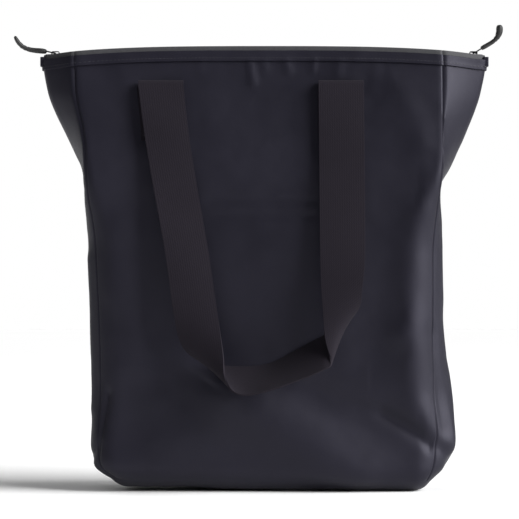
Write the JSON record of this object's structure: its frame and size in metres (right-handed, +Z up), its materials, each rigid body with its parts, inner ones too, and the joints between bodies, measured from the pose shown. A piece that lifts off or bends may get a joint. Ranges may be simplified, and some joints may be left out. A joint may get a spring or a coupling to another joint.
{
  "type": "foldable tote bag",
  "caption": "Foldable tote bag of thin coated cloth with two gussets, a two-slider zip along the mouth, and two flat webbing handles that hang down outside.",
  "frame": {"origin": "middle of the base, on the surface that the bag stands on", "axes": "+Z up, -Y towards the front wall, +X along the mouth to the right as seen from the front"},
  "size_m": [0.4818, 0.1816, 0.4441],
  "materials": {
    "body_cloth": "thin coated polyester with a soft sheen",
    "binding": "matt seam tape",
    "webbing": "matt twill webbing",
    "zip_tape": "matt woven zip tape",
    "zip_coil": "nylon coil",
    "slider_metal": "black painted die casting",
    "pull_rubber": "soft moulded grip"
  },
  "bodies": {
    "bag": {"base_panel": "body_cloth", "base_bindings": "binding", "stow_pocket": "body_cloth", "stow_pocket_hem": "body_cloth", "front_panel": "body_cloth", "front_bindings": "binding", "back_panel": "body_cloth", "back_bindings": "binding", "left_gusset": "body_cloth", "left_gusset_hem": "body_cloth", "left_tape_ends": "zip_tape", "left_coil_ends": "zip_coil", "left_zip_end": "body_cloth", "right_gusset": "body_cloth", "right_gusset_hem": "body_cloth", "right_tape_ends": "zip_tape", "right_coil_ends": "zip_coil", "right_zip_end": "body_cloth"},
    "left_slider": {"left_slider_body": "slider_metal"},
    "right_slider": {"right_slider_body": "slider_metal"},
    "left_pull": {"left_pull_tab": "slider_metal", "left_pull_grip": "pull_rubber"},
    "right_pull": {"right_pull_tab": "slider_metal", "right_pull_grip": "pull_rubber"},
    "front_rim": {"front_panel_top": "body_cloth", "front_hem": "body_cloth", "front_zip_tape": "zip_tape", "front_zip_coil": "zip_coil", "front_top_bindings": "binding", "front_handle_ends": "webbing", "front_handle_folds": "webbing", "front_handle_patches": "body_cloth"},
    "front_handle": {"front_handle": "webbing"},
    "back_rim": {"back_panel_top": "body_cloth", "back_hem": "body_cloth", "back_zip_tape": "zip_tape", "back_zip_coil": "zip_coil", "back_top_bindings": "binding", "back_handle_ends": "webbing", "back_handle_folds": "webbing", "back_handle_patches": "body_cloth"},
    "back_handle": {"back_handle": "webbing"}
  },
  "joints": [
    {"name": "left_zip", "type": "slide", "parent": "bag", "child": "left_slider", "axis": [0.9997, 0, -0.0231], "range_m": [0, 0.19615]},
    {"name": "right_zip", "type": "slide", "parent": "bag", "child": "right_slider", "axis": [-0.9997, 0, -0.0231], "range_m": [0, 0.19616]},
    {"name": "front_closing", "type": "hinge", "parent": "bag", "child": "front_rim", "pos_m": [0, -0.0454, 0.2878], "axis": [-1, 0, 0], "range_deg": [0, 7.63]},
    {"name": "back_closing", "type": "hinge", "parent": "bag", "child": "back_rim", "pos_m": [0, 0.0454, 0.2878], "axis": [1, 0, 0], "range_deg": [0, 7.63]},
    {"name": "left_pull_swing", "type": "hinge", "parent": "left_slider", "child": "left_pull", "pos_m": [-0.2021, 0, 0.4202], "axis": [0, 1, 0], "range_deg": [-8, 76]},
    {"name": "right_pull_swing", "type": "hinge", "parent": "right_slider", "child": "right_pull", "pos_m": [0.2021, 0, 0.4202], "axis": [0, -1, 0], "range_deg": [-26, 58]},
    {"name": "front_handle_swing", "type": "hinge", "parent": "front_rim", "child": "front_handle", "pos_m": [0, -0.03401, 0.388], "axis": [-1, 0, 0], "range_deg": [0, 162], "deforming": ["front_handle_folds"]},
    {"name": "back_handle_swing", "type": "hinge", "parent": "back_rim", "child": "back_handle", "pos_m": [0, 0.03401, 0.388], "axis": [1, 0, 0], "range_deg": [0, 162], "deforming": ["back_handle_folds"]}
  ],
  "couplings": [
    {"joint": "right_zip", "follows": "left_zip", "ratio": 1},
    {"joint": "front_closing", "follows": "left_zip", "rad_per_m": 0.67825},
    {"joint": "back_closing", "follows": "left_zip", "rad_per_m": 0.67825}
  ]
}
